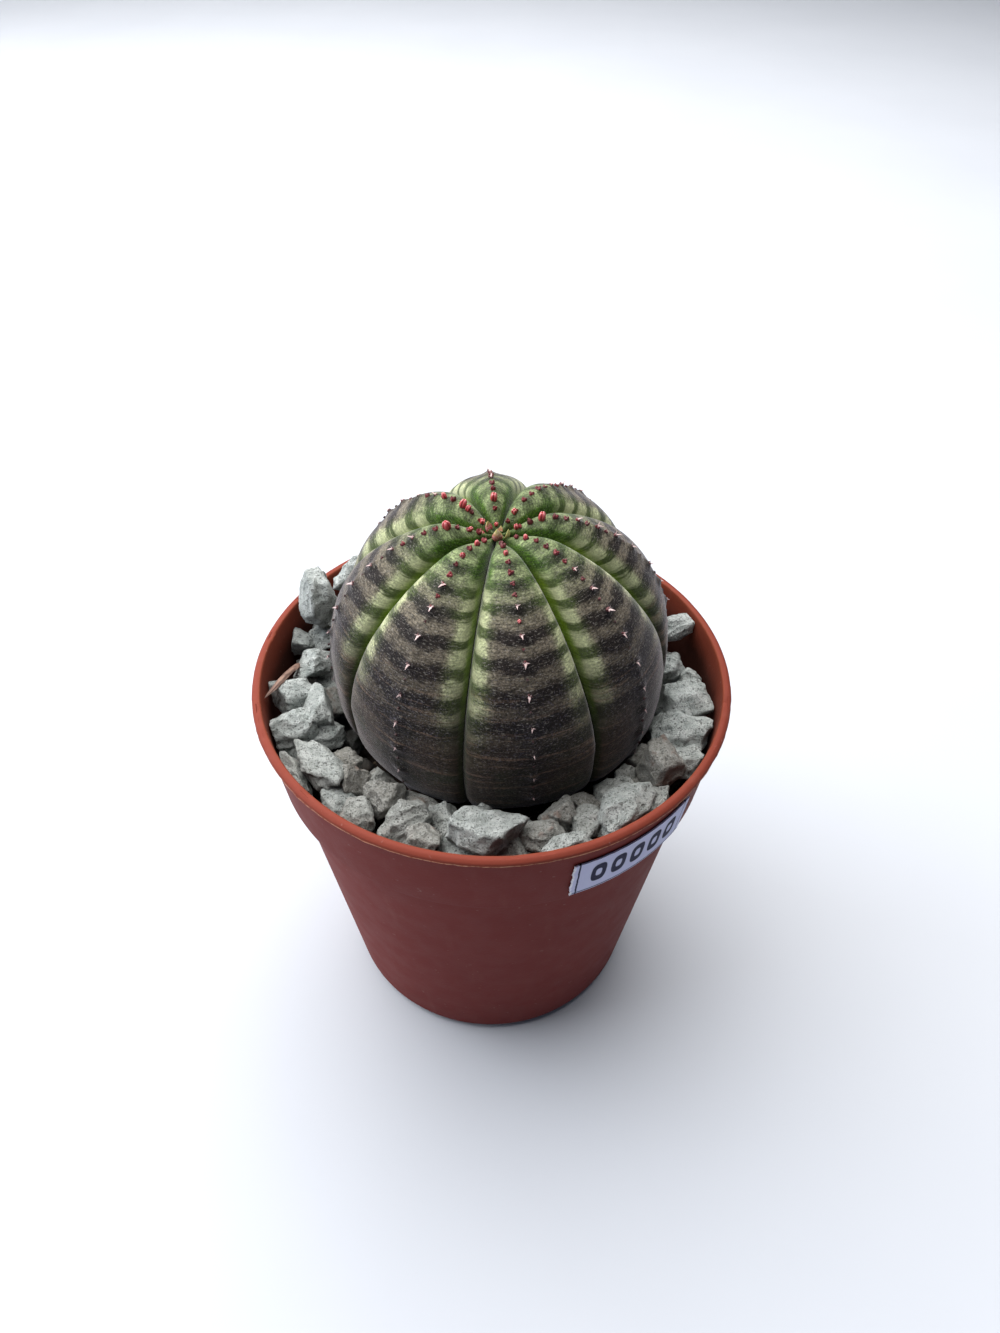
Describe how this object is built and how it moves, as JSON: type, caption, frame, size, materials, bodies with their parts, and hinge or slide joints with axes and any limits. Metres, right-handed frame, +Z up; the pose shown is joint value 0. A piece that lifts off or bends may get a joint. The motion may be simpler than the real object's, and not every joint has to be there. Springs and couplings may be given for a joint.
{
  "type": "potted baseball plant",
  "caption": "Ribbed globe succulent with rows of tubercles, standing in gravel-topped soil in a small tapered nursery pot with a blank label.",
  "frame": {"origin": "centre of the pot's foot, on the surface that it stands on", "axes": "+Z up; the front, as the picture shows it, faces -Y; +X to the right"},
  "size_m": [0.055, 0.055, 0.0718],
  "materials": {
    "pot_plastic": "satin moulded",
    "potting_soil": "matt crumbly",
    "gravel_stone": "rough pitted",
    "plant_skin": "velvety matt",
    "label_paper": "smooth",
    "dry_straw": "dry fibrous"
  },
  "bodies": {
    "root": {"pot": "pot_plastic", "soil": "potting_soil", "gravel": "gravel_stone", "plant": "plant_skin", "label": "label_paper", "straw": "dry_straw"}
  },
  "joints": []
}
